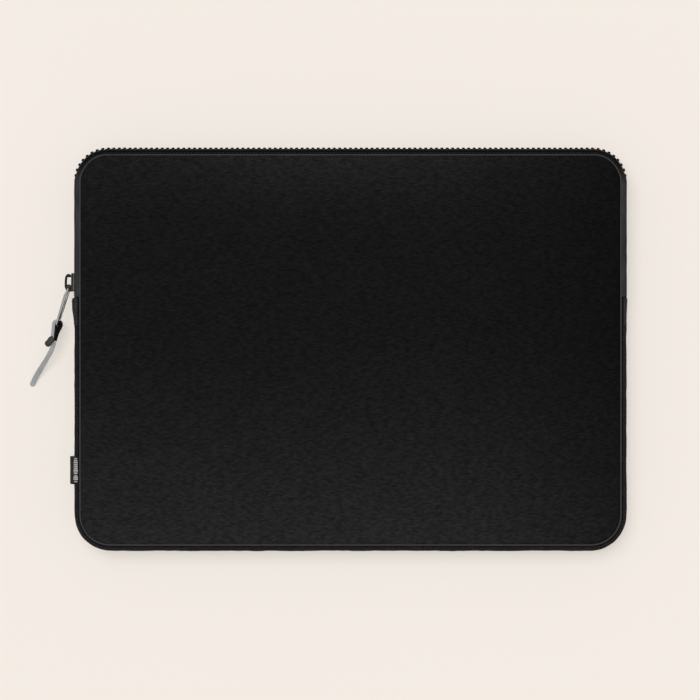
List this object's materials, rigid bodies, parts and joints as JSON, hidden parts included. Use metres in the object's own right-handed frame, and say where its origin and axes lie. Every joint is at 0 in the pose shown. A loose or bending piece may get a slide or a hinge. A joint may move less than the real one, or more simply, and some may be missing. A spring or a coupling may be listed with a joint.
{
  "type": "laptop sleeve",
  "caption": "padded laptop sleeve with a three-sided zipper, slider with bail, puller and leather strap, plush-lined pocket, gusseted edge, piping and a blank side label",
  "frame": {"origin": "middle of the back panel's outer face, between its side seams and between its top and bottom seams; the sleeve lies on this face", "axes": "+X to the sleeve's right seen from the front, +Y to the zipped top edge, +Z out of the front panel"},
  "size_m": [0.3803, 0.2551, 0.028],
  "materials": {
    "shell_fabric": "tightly woven matt polyester, near black",
    "foam": "closed-cell foam sheet",
    "plush_lining": "short plush pile, dark grey",
    "edge_piping": "fine corded piping",
    "binding": "ribbed binding tape",
    "zipper_tape": "herringbone woven tape, black",
    "zipper_teeth": "moulded acetal teeth, black",
    "slider_metal": "dark gunmetal plated casting",
    "puller_metal": "gunmetal plated, worn bright on its edges",
    "strap_leather": "light grey suede leather",
    "strap_head": "dark grey leather",
    "label_ribbon": "woven satin ribbon"
  },
  "bodies": {
    "sleeve": {"back_cover": "shell_fabric", "back_foam": "foam", "back_lining": "plush_lining", "front_cover_lower": "shell_fabric", "front_foam_lower": "foam", "front_lining_lower": "plush_lining", "back_piping": "edge_piping", "front_piping_lower": "edge_piping", "back_binding": "binding", "front_binding_lower": "binding", "gusset": "shell_fabric", "gusset_foam": "foam", "gusset_lining": "plush_lining", "back_zipper_tape": "zipper_tape", "front_zipper_tape_ends": "zipper_tape", "back_teeth": "zipper_teeth", "front_teeth_ends": "zipper_teeth", "zipper_stops": "zipper_teeth", "zipper_retainer": "zipper_teeth", "zipper_guard": "plush_lining", "zipper_end_tab_left": "shell_fabric", "zipper_end_tab_right": "shell_fabric", "side_label": "label_ribbon"},
    "flap": {"front_cover_flap": "shell_fabric", "front_foam_flap": "foam", "front_lining_flap": "plush_lining", "front_piping_flap": "edge_piping", "front_binding_flap": "binding", "front_zipper_tape": "zipper_tape", "front_teeth": "zipper_teeth"},
    "slider": {"slider_body": "slider_metal", "slider_bail": "slider_metal"},
    "puller": {"puller": "puller_metal"},
    "strap": {"strap_loop": "strap_leather", "strap_head": "strap_head", "strap_tail": "strap_leather"}
  },
  "joints": [
    {"name": "flap_fold", "type": "hinge", "parent": "sleeve", "child": "flap", "pos_m": [0, 0.0517, 0.028], "axis": [1, 0, 0], "range_deg": [0, 60]},
    {"name": "slider_travel", "type": "slide", "parent": "sleeve", "child": "slider", "axis": [0, 1, 0], "range_m": [0, 0.061]},
    {"name": "puller_flip", "type": "hinge", "parent": "slider", "child": "puller", "pos_m": [-0.1785, 0.0396, 0.014], "axis": [0, 0, 1], "range_deg": [-125, 10]},
    {"name": "strap_swing", "type": "hinge", "parent": "puller", "child": "strap", "pos_m": [-0.1857, 0.01576, 0.014], "axis": [0, 0, 1], "range_deg": [-45, 10]}
  ]
}
